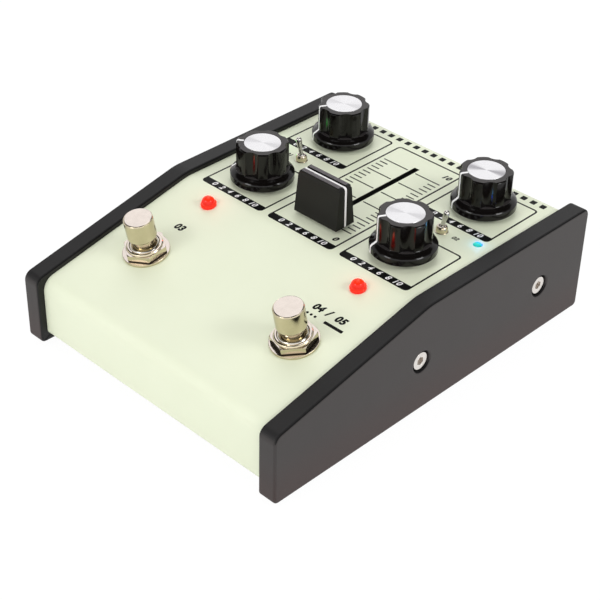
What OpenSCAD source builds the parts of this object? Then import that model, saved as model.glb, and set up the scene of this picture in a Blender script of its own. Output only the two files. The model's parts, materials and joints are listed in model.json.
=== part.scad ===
// Tabletop delay effect pedal.
// A folded steel cover and a base tray are held between two thick side cheeks. The front slope carries two
// foot-operated switches and two lamps, and the flat rear panel carries four turning knobs, a fader,
// two lever switches and two small lamps. Sockets are on the rear wall.
// X runs to the right, Y to the back and Z up. The feet stand on z = 0.

/* [Housing] */
// Overall width across the two cheeks
body_w = 135; // [128:1:150]
// Depth of a cheek, front to back
body_d = 169.4; // [158:0.2:185]
// Height of a cheek along its flat rear part
cheek_h = 45.2; // [44:0.2:52]
// Height of a cheek at its front edge
front_h = 29; // [27:0.5:33]
// Depth of a cheek's flat rear part, from the bend to the rear edge
flat_run = 93; // [90:0.5:96]
// Thickness of a cheek
cheek_t = 8; // [7.5:0.5:10]
// Height of a cheek above the cover, square to the cover
cheek_proud = 1.9; // [1:0.1:3]
// Radius of a cheek's upper front corner
cheek_front_r = 4; // [1:0.5:8]
// Radius of a cheek's upper rear corner
cheek_rear_r = 3; // [1:0.5:6]
// Radius of a cheek's lower corners
cheek_low_r = 2; // [0.5:0.5:4]
// Outer radius of the soft bend between the slope and the rear panel
bend_r = 25; // [10:1:60]
// Thickness of the cover's sheet
sheet_t = 1.5; // [1:0.1:2]
// Set-back of the cover behind the cheeks' front edges
front_inset = 3; // [1:0.5:6]
// Set-back of the rear wall behind the cheeks' rear edges
rear_inset = 5; // [4:0.5:7]
// Height of the cover's lower edge above the cheeks' lower edges
cover_lift = 3; // [2:0.5:5]
// Outer radius of the cover's upper front edge
cover_front_r = 6; // [3:0.5:9]
// Outer radius of the cover's upper rear edge
cover_rear_r = 3; // [2.2:0.2:5]
// Outer radius of the cover's lower folds
fold_r = 2.2; // [2.1:0.1:3]
// Length of the lips folded in under the tray
lip_l = 10; // [9:0.5:13]
// Thickness of the base tray's sheet
tray_t = 1.5; // [1:0.1:2]
// Gap between faces that are screwed together
seam = 0.05; // [0.02:0.01:0.1]

/* [Feet and screws] */
// Drop of the feet below the cheeks
foot_drop = 1.5; // [1:0.5:4]
// Diameter of a foot
foot_d = 13; // [11:0.5:16]
// Distance of a foot's middle from the nearer cheek
foot_side_inset = 13.5; // [12:0.5:18]
// Distance of a foot's middle from the nearer end of the cheeks
foot_end_inset = 32.7; // [29:0.1:38]
// Run of a cheek's front screw from the front edge
cheek_screw_front = 73.6; // [68:0.2:90]
// Distance of a cheek's rear screw from the rear edge
cheek_screw_rear_inset = 27.4; // [20:0.2:38]
// Height of the cheek screws above the cheek's lower edge
cheek_screw_z = 22; // [18:0.5:25]
// Thread diameter of a cheek screw
cheek_screw_d = 4; // [3:0.5:4.5]
// Head diameter of a cheek screw
cheek_head_d = 7; // [6:0.5:8]
// Head height of a cheek screw
cheek_head_h = 4; // [3:0.5:4.5]
// Depth of a screw head below the cheek's outer face
cheek_head_recess = 0.8; // [0.2:0.1:1.5]
// Diameter of the counterbore around a screw head
counterbore_d = 8.4; // [8.2:0.2:10]
// Width of a screw's hexagon socket across flats
socket_af = 3; // [2:0.5:3.5]
// Thread diameter of the screws in the lips and the feet and on the board
small_screw_d = 3; // [2.5:0.5:3]
// Head diameter of those screws
small_head_d = 5.4; // [4.8:0.2:5.8]
// Head height of those screws
small_head_h = 1.7; // [1.4:0.1:2]
// Distance of a lip screw from the nearer cheek
lip_screw_inset = 15.5; // [12:0.5:28]
// Wall of the clinch nuts round their threads
clinch_wall = 1.8; // [1.2:0.1:2.4]
// Height of the clinch nuts
clinch_h = 3; // [2:0.5:4]

/* [Knobs] */
// Distance of a knob's axis from the nearer cheek
knob_inset = 22.5; // [21.5:0.5:24]
// Run of the front knobs from the bend
knob_front_run = 19.5; // [16:0.5:21]
// Distance between front and rear knobs
knob_pitch = 46.4; // [44:0.2:48]
// Diameter of a knob's skirt
skirt_d = 25.6; // [23:0.2:26]
// Height of a skirt's upright edge
skirt_h = 3.3; // [2.4:0.1:3.8]
// Rise of a skirt's sloping top, from that edge to the grip
skirt_slope_h = 1.2; // [0.8:0.1:2]
// Diameter of a knob's fluted grip
grip_d = 20.8; // [19:0.2:22]
// Height of a knob's top above the panel
knob_rise = 16.8; // [15:0.2:19]
// Gap between a skirt and the panel
knob_gap = 1.3; // [0.8:0.1:1.6]
// Number of flutes in a grip
flute_count = 7; // [5:1:10]
// Diameter of the scallop that cuts a flute
flute_d = 9; // [7:0.5:12]
// Depth of a flute
flute_depth = 1.3; // [0.6:0.1:1.5]
// Diameter of the metal disc in a knob's top
disc_d = 14.7; // [12:0.1:16]
// Thickness of the disc
disc_t = 0.5; // [0.3:0.1:0.8]
// Direction of the pointers at the lowest setting, seen from above
pointer_min = -120; // [-150:5:-90]
// Turn of the front left knob above its lowest setting
front_left_turn = 26; // [0:1:60]
// How much higher the front right knob sits on its shaft than the others
front_right_lift = 1; // [0:0.1:1.2]
// Diameter of a potentiometer's shaft
shaft_d = 6; // [5:0.5:6]
// Length of the shaft held in the knob
shaft_grip_l = 9; // [7:0.5:9.5]
// Diameter of a potentiometer's threaded bushing
pot_bush_d = 7; // [6.8:0.1:7.4]
// Height of that bushing above the panel
pot_bush_rise = 4.2; // [3.6:0.1:4.4]
// Diameter of a potentiometer's can
pot_can_d = 16.4; // [14:0.2:17]
// Width of a potentiometer's nut across flats
pot_nut_af = 10; // [9.4:0.2:11]
// Thickness of a potentiometer's nut
pot_nut_t = 2; // [1.4:0.1:2.2]
// Diameter of a potentiometer's washer
pot_washer_d = 12; // [11.6:0.2:13]
// Thickness of a potentiometer's washer
pot_washer_t = 0.5; // [0.3:0.1:0.8]

/* [Fader] */
// Run of the fader's lever from the bend, at its front stop
fader_run = 16; // [14:0.5:20]
// Travel of the fader
fader_travel = 51; // [45:1:52]
// Width of the slot in the panel
slot_w = 2.6; // [2.2:0.1:3.2]
// Width of the lever, along the slot
lever_l = 4; // [3:0.5:5]
// Thickness of the lever, across the slot
lever_t = 1.4; // [1:0.1:1.6]
// Free length at each end of the slot
slot_end = 1.2; // [0.8:0.1:2]
// Width of the fader's cap at its foot
cap_w = 22; // [18:0.5:24]
// Narrowing of the cap from its foot to its top
cap_narrowing = 0.6; // [0.2:0.1:2]
// Depth of the cap at its foot
cap_foot_d = 10; // [9:0.2:11]
// Depth of the cap at its top
cap_top_d = 6.4; // [5:0.2:8]
// Height of the cap
cap_h = 16.7; // [14:0.1:18]
// Gap between the cap and the panel
cap_gap = 1; // [0.5:0.1:1.5]
// Rounding of the cap's upper edges
cap_edge_r = 0.7; // [0.3:0.1:1.2]
// Depth of the lever's socket in the cap
cap_socket = 9; // [6:0.5:11]
// Width of the fader's case under the panel
fader_case_w = 9; // [8:0.5:11]
// Wall of the fader's case
fader_case_wall = 1.2; // [1:0.1:1.4]

/* [Lever switches] */
// Run of the lever switches from the bend
toggle_run = 41.5; // [38:0.5:43]
// Diameter of the switch's bushing
toggle_bush_d = 4.6; // [4.4:0.1:5.2]
// Height of the bushing's dome above the panel
toggle_rise = 2.7; // [2.4:0.1:3]
// Height of the lever's pivot above the panel
toggle_pivot = 2.2; // [1.9:0.1:2.4]
// Reach of the lever's tip above its pivot
toggle_reach = 7.9; // [6.5:0.1:9]
// Lean of the lever to each side
toggle_lean = 14.3; // [10:0.1:16]
// Diameter of the lever's round tip
toggle_tip_d = 2.4; // [2.1:0.1:2.7]
// Diameter of the lever at its neck
toggle_neck_d = 1.7; // [1.4:0.1:1.8]

/* [Foot switches] */
// Distance of a foot switch's axis from the nearer cheek
foot_switch_inset = 20.1; // [18.5:0.1:22]
// Run of the foot switches down the slope from the bend
foot_switch_run = 40.2; // [36:0.2:44]
// Diameter of a switch's cap
foot_cap_d = 11.4; // [10:0.2:12]
// Height of the cap
foot_cap_h = 9; // [7:0.2:9.2]
// Height of the cap's top above the slope
foot_cap_rise = 17; // [16.8:0.2:20]
// Diameter of the stem under the cap
foot_stem_d = 8.6; // [8:0.1:8.9]
// Travel of the cap
foot_travel = 2.5; // [1.5:0.1:2.6]
// Diameter of the threaded bushing
foot_bush_d = 11.8; // [11.6:0.1:12.2]
// Height of the bushing above the slope
foot_bush_rise = 4.6; // [4.2:0.1:4.8]
// Width of the outer nut across flats
foot_nut_af = 15; // [14:0.2:16.6]
// Thickness of the outer nut
foot_nut_t = 2.6; // [2:0.1:3]
// Rise of the rounded crown on the outer nut
foot_nut_crown = 0.7; // [0.4:0.1:0.9]
// Diameter of the washer
foot_washer_d = 18.4; // [17.6:0.2:21]
// Thickness of the washer
foot_washer_t = 1; // [0.6:0.1:1.1]
// Thickness of the lock nut under the slope
lock_nut_t = 2; // [1.5:0.1:2.5]
// Width of the square switch body
foot_body_w = 17.4; // [16:0.2:18]
// Height of the switch body
foot_body_h = 14; // [12:0.5:15]
// Turn of the left outer nut
left_nut_turn = 27.5; // [0:0.5:60]
// Turn of the right outer nut
right_nut_turn = 43; // [0:0.5:60]

/* [Lamps] */
// Run of the large lamps down the slope from the bend
large_lamp_run = 7.3; // [6.5:0.1:12]
// Diameter of a large lamp's lens
large_lens_d = 5.4; // [4.8:0.1:5.6]
// Diameter of a large lamp's rim
large_rim_d = 6.3; // [6.1:0.1:7]
// Height of a large lamp's rim
large_rim_h = 1.1; // [0.6:0.1:1.2]
// Height of a large lamp's straight part
large_lens_h = 1.4; // [1.3:0.1:3]
// Distance of a small lamp from the nearer cheek
small_lamp_inset = 7.3; // [6.5:0.1:8]
// Run of the small lamps from the bend
small_lamp_run = 44.2; // [41:0.2:46]
// Diameter of a small lamp's lens
small_lens_d = 3.5; // [3:0.1:3.8]
// Height of a small lamp's crown above the panel
small_lens_rise = 0.8; // [0.3:0.1:1.2]

/* [Sockets] */
// Distance of a jack's axis from the nearer cheek
jack_inset = 25.5; // [23.5:0.5:28]
// Diameter of a jack's bore
jack_bore_d = 6.5; // [6.4:0.05:6.6]
// Length of a jack's bore
jack_bore_l = 26; // [24:0.5:27]
// Diameter of a jack's threaded nose
jack_nose_d = 11.8; // [11:0.1:12.4]
// Reach of the noses behind the rear wall
nose_reach = 3.8; // [3.4:0.1:3.9]
// Width of a jack's nut across flats
jack_nut_af = 15; // [14:0.2:16]
// Thickness of the socket nuts
socket_nut_t = 2.4; // [2:0.1:2.6]
// Thickness of a jack's washer
jack_washer_t = 0.6; // [0.4:0.1:0.8]
// Diameter of a jack's washer
jack_washer_d = 17; // [16.4:0.2:18]
// Width of a jack's body
jack_body_w = 17; // [15:0.5:18]
// Height of a jack's body
jack_body_h = 13; // [12:0.5:14]
// Length of a jack's body
jack_body_l = 24; // [23.5:0.5:26]
// Diameter of the power inlet's threaded nose
inlet_nose_d = 8; // [7.6:0.1:8.6]
// Diameter of the power inlet's bore
inlet_bore_d = 5.7; // [5.6:0.1:6]
// Diameter of the power inlet's middle pin
inlet_pin_d = 2.1; // [2:0.1:2.5]
// Diameter of the power inlet's body
inlet_body_d = 10; // [9.4:0.2:11]
// Length of the power inlet's body
inlet_body_l = 12; // [10:0.5:14]
// Width of the power inlet's nut across flats
inlet_nut_af = 11; // [10:0.2:12]

/* [Boards] */
// Space between the panel and the control board
board_gap = 9; // [8.5:0.1:10]
// Thickness of the boards
board_t = 1.6; // [1.2:0.2:2]
// Distance of the control board's sides from the cheeks
control_board_inset = 6.5; // [5.5:0.5:8]
// Depth of the control board
control_board_d = 74; // [71:1:76]
// Run of the control board's front edge from the bend
control_board_run = 5; // [4:0.5:8]
// Distance of the main board's sides from the cheeks
main_board_inset = 8.5; // [7:0.5:9.5]
// Depth of the main board
main_board_d = 56; // [50:1:60]
// Height of the spacers under the main board
spacer_h = 5; // [4:0.5:6]
// Width of the ribbon cable
ribbon_w = 14; // [8:1:20]
// Thickness of the ribbon cable
ribbon_t = 0.9; // [0.6:0.1:1.2]
// Sideways bow of the ribbon cable
ribbon_bow = 6; // [3:0.5:8]
// Height of the plugs on the ribbon cable
plug_h = 4; // [3:0.5:5]
// Depth of those plugs
plug_d = 5; // [4:0.5:6]

/* [Hidden] */
$fn = 48;
arc_steps = 10;
// Radial clearance of a shaft in its bearing
run_gap = 0.05;
// Clearance of a moving piece in its opening
move_gap = 0.3;
// Radial clearance of a fixed piece in its hole
hole_gap = 0.15;
// Extra length of a cut, so that it breaks through cleanly
over = 1;

slope_run = body_d - flat_run;
slope_angle = atan((cheek_h - front_h) / slope_run);
inner_w = body_w - 2 * cheek_t;
panel_w = inner_w - 2 * seam;
knob_x = inner_w / 2 - knob_inset;
foot_switch_x = inner_w / 2 - foot_switch_inset;
small_lamp_x = inner_w / 2 - small_lamp_inset;
jack_x = inner_w / 2 - jack_inset;
lip_screw_x = inner_w / 2 - lip_screw_inset;
foot_x = inner_w / 2 - foot_side_inset;
foot_y = body_d / 2 - foot_end_inset;
cheek_screw_rear = body_d - cheek_screw_rear_inset;
control_board_w = inner_w - 2 * control_board_inset;
main_board_w = inner_w - 2 * main_board_inset;
panel_z = foot_drop + cheek_h - cheek_proud;
panel_under = panel_z - sheet_t;
bend_at = bend_y(cheek_proud) - body_d / 2;
cover_front = front_inset - body_d / 2;
cover_rear = body_d / 2 - rear_inset;
lip_z = foot_drop + cover_lift;
tray_z = lip_z + sheet_t + seam;
tray_top = tray_z + tray_t;
tray_inset = sheet_t + seam;
front_lip_y = cover_front + sheet_t + lip_l / 2;
rear_lip_y = cover_rear - sheet_t - lip_l / 2;
control_board_z = panel_under - board_gap - board_t;
main_board_z = tray_top + spacer_h;
main_board_y = cover_rear - sheet_t - 2 * move_gap - main_board_d / 2;
main_board_top = main_board_z + board_t;
socket_z = main_board_top + jack_body_h / 2 + seam;
foot_hole_d = foot_bush_d + 2 * hole_gap;
slot_l = fader_travel + lever_l + 2 * slot_end;
lock_nut_z = -sheet_t - seam - lock_nut_t;
foot_body_z = lock_nut_z - seam - foot_body_h;
// Depth of a foot cap's stem, and of a knob's shaft, below the outer face of the sheet
stem_depth = sheet_t + lock_nut_t + foot_body_h / 4;
shaft_depth = sheet_t + board_gap / 2;

// Place, turn and lift of each knob
front_left = [-knob_x, knob_front_run, pointer_min - front_left_turn, 0];
rear_left = [-knob_x, knob_front_run + knob_pitch, pointer_min, 0];
front_right = [knob_x, knob_front_run, pointer_min, front_right_lift];
rear_right = [knob_x, knob_front_run + knob_pitch, pointer_min, 0];
knob_places = [front_left, rear_left, front_right, rear_right];
sides = [-1, 1];

// Points of an arc of radius r that replaces the corner p between its neighbours a and b
function unit(v) = v / norm(v);
function corner_arc(p, a, b, r) =
    let(
        u = unit(a - p),
        v = unit(b - p),
        half = acos(u * v) / 2,
        middle = p + unit(u + v) * r / sin(half),
        from = p + u * r / tan(half) - middle,
        to = p + v * r / tan(half) - middle,
        start = atan2(from.y, from.x),
        turn = atan2(from.x * to.y - from.y * to.x, from * to)
    )
    [for (k = [0:arc_steps])
        let(angle = start + turn * k / arc_steps)
        middle + r * [cos(angle), sin(angle)]];
function rounded(points, radii) =
    let(n = len(points))
    [for (i = [0:n - 1])
        each corner_arc(points[i], points[(i + n - 1) % n], points[(i + 1) % n], radii[i])];

// Side outline of the housing, drawn in from the cheek's own edges
function slope_height(y, inset) = front_h + y * tan(slope_angle) - inset / cos(slope_angle);
function bend_y(inset) =
    (cheek_h - front_h - inset + inset / cos(slope_angle)) / tan(slope_angle);
function side_outline(front, rear, bottom, top) = [
    [front, bottom],
    [body_d - rear, bottom],
    [body_d - rear, cheek_h - top],
    [bend_y(top), cheek_h - top],
    [front, slope_height(front, top)]
];
function cover_outline(inset) =
    rounded(
        side_outline(front_inset + inset, rear_inset + inset, cover_lift + inset, cheek_proud + inset),
        [fold_r, fold_r, cover_rear_r, bend_r, cover_front_r] - inset * [1, 1, 1, 1, 1]
    );
cheek_outline =
    rounded(
        side_outline(0, 0, 0, 0),
        [cheek_low_r, cheek_low_r, cheek_rear_r, bend_r, cheek_front_r]
    );

// Frames in which the pieces are drawn
module across(w) {
    translate([-w / 2, -body_d / 2, foot_drop])
        rotate([90, 0, 90]) linear_extrude(w) children();
}
module on_panel(x, run) {
    translate([x, bend_at + run, panel_z]) children();
}
module on_slope(x, run) {
    translate([0, bend_at, panel_z]) rotate([slope_angle, 0, 0]) translate([x, -run, 0]) children();
}
module on_rear(x) {
    translate([x, cover_rear, socket_z]) rotate([-90, 0, 0]) children();
}
module on_cheek(side, run) {
    translate([side * body_w / 2, run - body_d / 2, foot_drop + cheek_screw_z])
        rotate([0, side * 90, 0]) children();
}
module at_cheek_screws() {
    for (side = sides, run = [cheek_screw_front, cheek_screw_rear]) on_cheek(side, run) children();
}
module at_lip_screws() {
    for (side = sides, y = [front_lip_y, rear_lip_y]) translate([side * lip_screw_x, y, lip_z]) children();
}
module at_feet() {
    for (side = sides, end = sides) translate([side * foot_x, end * foot_y, 0]) children();
}
module at_spacers() {
    inset = small_head_d / 2 + over;
    for (side = sides, end = [-main_board_d / 2 + inset, main_board_d / 2 - lip_l])
        translate([side * (main_board_w / 2 - inset), main_board_y + end, tray_top]) children();
}
module on_shaft(place) {
    on_panel(place[0], place[1]) translate([0, 0, place[3]]) rotate(place[2]) children();
}
module at_knobs() {
    for (place = knob_places) on_panel(place.x, place.y) children();
}

// Shapes that repeat
module drill(d, depth) {
    translate([0, 0, -depth]) cylinder(d = d, h = depth + over);
}
module through(d) {
    translate([0, 0, -sheet_t - over]) cylinder(d = d, h = sheet_t + 2 * over);
}
module ring(outer, inner, h) {
    difference() {
        cylinder(d = outer, h = h);
        translate([0, 0, -over]) cylinder(d = inner, h = h + 2 * over);
    }
}
module hex_nut(af, bore, h, crown = 0) {
    corner = af / cos(30) / 2;
    bevel_r = (af / 2 + corner) / 2;
    crown_r = af / 2 - crown / 2;
    difference() {
        union() {
            difference() {
                cylinder(r = corner, h = h, $fn = 6);
                rotate_extrude()
                    polygon([
                        [bevel_r, h],
                        [corner + over, h - (corner + over - bevel_r) / 3],
                        [corner + over, h + over],
                        [bevel_r, h + over]
                    ]);
            }
            if (crown > 0) rotate_extrude()
                polygon([
                    [0, h / 2],
                    [crown_r, h / 2],
                    [crown_r, h + crown * 0.3],
                    [crown_r - crown * 0.4, h + crown * 0.8],
                    [crown_r - crown, h + crown],
                    [0, h + crown]
                ]);
        }
        translate([0, 0, -over]) cylinder(d = bore, h = h + crown + 2 * over);
    }
}
module clinch_nut(thread) {
    ring(thread + 2 * clinch_wall, thread + 2 * run_gap, clinch_h);
}
module pan_screw(shank_l) {
    edge = small_head_h / 3;
    rotate_extrude()
        polygon([
            [0, -small_head_h],
            [small_head_d / 2 - edge, -small_head_h],
            [small_head_d / 2, -small_head_h + edge],
            [small_head_d / 2, 0],
            [small_screw_d / 2 - run_gap, 0],
            [small_screw_d / 2 - run_gap, shank_l],
            [0, shank_l]
        ]);
}

// Housing
module top_cover() {
    opening_l = cover_rear - cover_front - 2 * sheet_t - 2 * lip_l;
    color("#e6edd0") difference() {
        across(panel_w) polygon(cover_outline(0));
        across(panel_w + 2 * over) polygon(cover_outline(sheet_t));
        translate([-panel_w / 2 - over, front_lip_y + lip_l / 2, lip_z - over])
            cube([panel_w + 2 * over, opening_l, sheet_t + 2 * over]);
        at_knobs() through(pot_bush_d + 2 * hole_gap);
        on_panel(0, fader_run + fader_travel / 2) translate([-slot_w / 2, -slot_l / 2, -sheet_t - over])
            cube([slot_w, slot_l, sheet_t + 2 * over]);
        for (side = sides) {
            on_panel(side * knob_x, toggle_run) through(toggle_bush_d + 2 * hole_gap);
            on_panel(side * small_lamp_x, small_lamp_run) through(small_lens_d + 2 * hole_gap);
            on_slope(side * foot_switch_x, large_lamp_run) through(large_lens_d + 2 * hole_gap);
            on_slope(side * foot_switch_x, foot_switch_run) through(foot_hole_d);
            on_rear(side * jack_x) through(jack_nose_d + 2 * hole_gap);
        }
        on_rear(0) through(inlet_nose_d + 2 * hole_gap);
        at_lip_screws() translate([0, 0, -over])
            cylinder(d = small_screw_d + 2 * hole_gap, h = sheet_t + 2 * over);
    }
}
module base_tray() {
    wall_x = (panel_w - tray_t) / 2;
    bottom_front = cover_front + tray_inset + fold_r;
    bottom_l = cover_rear - tray_inset - fold_r - bottom_front;
    color("#26272a") difference() {
        union() {
            for (side = sides) translate([side * wall_x, 0, 0])
                across(tray_t) polygon(cover_outline(tray_inset));
            translate([-panel_w / 2, bottom_front, tray_z]) cube([panel_w, bottom_l, tray_t]);
        }
        at_cheek_screws() drill(cheek_screw_d + 2 * hole_gap, cheek_t + tray_t + over);
        at_lip_screws() cylinder(d = small_screw_d + 2 * hole_gap, h = tray_top - lip_z + over);
        at_feet() cylinder(d = small_screw_d + 2 * hole_gap, h = tray_top + over);
        at_spacers() drill(small_screw_d + 2 * hole_gap, tray_t + over);
    }
}
module cheek(side) {
    color("#3a3836") difference() {
        translate([side * (body_w - cheek_t) / 2, 0, 0]) across(cheek_t) polygon(cheek_outline);
        for (run = [cheek_screw_front, cheek_screw_rear]) on_cheek(side, run) {
            drill(counterbore_d, cheek_head_recess + cheek_head_h + seam);
            drill(cheek_screw_d + 2 * hole_gap, cheek_t + over);
        }
    }
}
module cheek_screws() {
    head_low = -cheek_head_recess - cheek_head_h;
    shank_end = -cheek_t - seam - tray_t - clinch_h;
    color("#d8d8d6") at_cheek_screws() difference() {
        union() {
            translate([0, 0, head_low]) cylinder(d = cheek_head_d, h = cheek_head_h);
            translate([0, 0, shank_end]) cylinder(d = cheek_screw_d, h = head_low - shank_end);
        }
        translate([0, 0, -cheek_head_recess - cheek_head_h / 2])
            cylinder(d = socket_af / cos(30), h = cheek_head_h, $fn = 6);
    }
}
module cheek_nuts() {
    color("#b9b9b4") at_cheek_screws()
        translate([0, 0, -cheek_t - 2 * seam - tray_t - clinch_h]) clinch_nut(cheek_screw_d);
}
module lip_screws() {
    color("#c9c9c6") at_lip_screws() translate([0, 0, -seam]) pan_screw(tray_top - lip_z + clinch_h);
}
module lip_nuts() {
    color("#b9b9b4") at_lip_screws() translate([0, 0, tray_top - lip_z + seam]) clinch_nut(small_screw_d);
}
module feet() {
    well_d = small_head_d + 4 * hole_gap;
    well_h = small_head_h + foot_drop;
    edge = foot_drop / 2;
    top = tray_z - seam;
    color("#1b1b1c") at_feet() rotate_extrude()
        polygon([
            [well_d / 2, 0],
            [foot_d / 2 - 2 * edge, 0],
            [foot_d / 2 - edge, edge],
            [foot_d / 2, top],
            [small_screw_d / 2 + hole_gap, top],
            [small_screw_d / 2 + hole_gap, well_h],
            [well_d / 2, well_h]
        ]);
}
module foot_screws() {
    seat = small_head_h + foot_drop - seam;
    color("#c9c9c6") at_feet() translate([0, 0, seat]) pan_screw(tray_top - seat + over);
}

// Turning controls
module knob(place) {
    r = grip_d / 2;
    skirt_r = skirt_d / 2;
    skirt_top = knob_gap + skirt_h + skirt_slope_h;
    edge = 0.5;
    hollow_r = pot_nut_af / cos(30) / 2 + 3 * move_gap;
    hollow_top = pot_bush_rise + 2 * move_gap;
    bore_r = shaft_d / 2 + run_gap / 2;
    well = knob_rise - disc_t - seam;
    color("#151517") on_shaft(place) difference() {
        rotate_extrude()
            polygon([
                [0, knob_gap],
                [skirt_r - edge, knob_gap],
                [skirt_r, knob_gap + edge],
                [skirt_r, knob_gap + skirt_h - edge],
                [skirt_r - edge, knob_gap + skirt_h + edge / 2],
                [r + edge, skirt_top],
                [r, skirt_top + edge],
                [r, knob_rise - edge],
                [r - edge, knob_rise],
                [0, knob_rise]
            ]);
        translate([0, 0, well]) cylinder(d = disc_d + 2 * seam, h = disc_t + over);
        cylinder(r = hollow_r, h = hollow_top);
        cylinder(r = bore_r, h = hollow_top + shaft_grip_l);
        for (k = [0:flute_count - 1])
            rotate((k + 0.5) * 360 / flute_count)
                translate([r - flute_depth + flute_d / 2, 0, skirt_top + edge / 4])
                    cylinder(d = flute_d, h = knob_rise);
    }
}
module disc(place) {
    edge = 0.15;
    color("#e4e4e6") on_shaft(place) translate([0, 0, knob_rise - disc_t]) rotate_extrude()
        polygon([
            [0, 0],
            [disc_d / 2, 0],
            [disc_d / 2, disc_t - edge],
            [disc_d / 2 - edge, disc_t],
            [0, disc_t]
        ]);
}
module shaft(place) {
    low = -shaft_depth;
    high = place[3] + pot_bush_rise + 2 * move_gap + shaft_grip_l - seam;
    color("#b8a15c") on_panel(place.x, place.y) translate([0, 0, low]) cylinder(d = shaft_d, h = high - low);
}
module pot(place) {
    can_h = board_gap - 2 * seam;
    color("#9fa3a2") on_panel(place.x, place.y) difference() {
        union() {
            translate([0, 0, -sheet_t - seam - can_h]) cylinder(d = pot_can_d, h = can_h);
            translate([0, 0, -sheet_t - board_gap / 2])
                cylinder(d = pot_bush_d, h = sheet_t + board_gap / 2 + pot_bush_rise);
        }
        translate([0, 0, -shaft_depth - seam])
            cylinder(d = shaft_d + 2 * run_gap, h = shaft_depth + pot_bush_rise + over);
    }
}
module pot_washers() {
    color("#c2c2be") at_knobs() translate([0, 0, seam])
        ring(pot_washer_d, pot_bush_d + 2 * run_gap, pot_washer_t);
}
module pot_nuts() {
    color("#c2c2be") at_knobs() translate([0, 0, pot_washer_t + 2 * seam])
        hex_nut(pot_nut_af, pot_bush_d + 2 * run_gap, pot_nut_t);
}

// Sliding control
module fader_case() {
    h = board_gap - 2 * seam;
    l = slot_l + 4 * fader_case_wall + lever_l;
    hollow_l = slot_l + lever_l;
    hollow_w = fader_case_w - 2 * fader_case_wall;
    middle = fader_run + fader_travel / 2;
    color("#a9acab") on_panel(0, middle) translate([0, 0, -sheet_t - seam - h]) difference() {
        translate([-fader_case_w / 2, -l / 2, 0]) cube([fader_case_w, l, h]);
        translate([-hollow_w / 2, -hollow_l / 2, fader_case_wall])
            cube([hollow_w, hollow_l, h - 2 * fader_case_wall]);
        translate([-slot_w / 2, -slot_l / 2, fader_case_wall]) cube([slot_w, slot_l, h]);
    }
}
module fader_lever() {
    hollow_h = board_gap - 2 * seam - 2 * fader_case_wall;
    slider_w = fader_case_w - 2 * fader_case_wall - 2 * move_gap;
    slider_l = 2 * lever_l - 2 * move_gap;
    slider_h = hollow_h - 2 * move_gap;
    slider_z = -sheet_t - seam - fader_case_wall - move_gap - slider_h;
    top = cap_gap + cap_socket - seam;
    color("#c7c8c4") on_panel(0, fader_run) {
        translate([-slider_w / 2, -slider_l / 2, slider_z]) cube([slider_w, slider_l, slider_h]);
        translate([-lever_t / 2, -lever_l / 2, slider_z]) cube([lever_t, lever_l, top - slider_z]);
    }
}
module fader_cap() {
    socket_w = lever_t + 2 * seam;
    socket_l = lever_l + 2 * seam;
    side_view = rounded(
        [[-cap_foot_d / 2, 0], [cap_foot_d / 2, 0], [cap_top_d / 2, cap_h], [-cap_top_d / 2, cap_h]],
        [cap_edge_r / 2, cap_edge_r / 2, cap_edge_r, cap_edge_r]
    );
    front_view = rounded(
        [
            [-cap_w / 2, 0],
            [cap_w / 2, 0],
            [(cap_w - cap_narrowing) / 2, cap_h],
            [(cap_narrowing - cap_w) / 2, cap_h]
        ],
        [cap_edge_r / 2, cap_edge_r / 2, cap_edge_r, cap_edge_r]
    );
    color("#19191b") on_panel(0, fader_run) translate([0, 0, cap_gap]) difference() {
        intersection() {
            translate([-cap_w / 2, 0, 0]) rotate([90, 0, 90]) linear_extrude(cap_w) polygon(side_view);
            translate([0, cap_foot_d / 2, 0]) rotate([90, 0, 0])
                linear_extrude(cap_foot_d) polygon(front_view);
        }
        translate([-socket_w / 2, -socket_l / 2, -over]) cube([socket_w, socket_l, cap_socket + over]);
    }
}

// Lever switches
module toggle_switch(side) {
    r = toggle_bush_d / 2;
    ball_r = toggle_neck_d / 2 + move_gap;
    hollow_r = ball_r + move_gap / 2;
    hollow_z = toggle_pivot - 2 * ball_r;
    crown_r = hollow_r + 0.2;
    upright = 0.45 * toggle_rise;
    low = -sheet_t - board_gap / 3;
    case_h = board_gap - 2 * seam;
    case_w = 1.7 * toggle_bush_d;
    case_l = 2.1 * toggle_bush_d;
    color("#cfccc2") on_panel(side * knob_x, toggle_run) difference() {
        union() {
            rotate_extrude()
                polygon(concat(
                    [[0, low], [r, low], [r, seam], [r + move_gap, seam]],
                    [[r + move_gap, move_gap], [r, move_gap]],
                    [for (k = [0:arc_steps])
                        let(angle = 90 * k / arc_steps)
                        [
                            crown_r + (r - crown_r) * cos(angle),
                            upright + (toggle_rise - upright) * sin(angle)
                        ]],
                    [[0, toggle_rise]]
                ));
            translate([-case_w / 2, -case_l / 2, -sheet_t - seam - case_h]) cube([case_w, case_l, case_h]);
        }
        translate([0, 0, hollow_z]) cylinder(r = hollow_r, h = toggle_rise - hollow_z + over);
    }
}
module toggle_lever(side) {
    neck_r = toggle_neck_d / 2;
    tip_r = toggle_tip_d / 2;
    ball_r = neck_r + move_gap;
    color("#d5d5d2") on_panel(side * knob_x, toggle_run) translate([0, 0, toggle_pivot])
        rotate([0, side * toggle_lean, 0]) {
            sphere(r = ball_r);
            rotate_extrude()
                polygon(concat(
                    [[0, 0], [neck_r, 0], [neck_r, 0.35 * toggle_reach], [tip_r, 0.78 * toggle_reach]],
                    [for (k = [0:arc_steps])
                        let(angle = 90 * k / arc_steps)
                        [tip_r * cos(angle), toggle_reach - tip_r + tip_r * sin(angle)]]
                ));
        }
}

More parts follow.
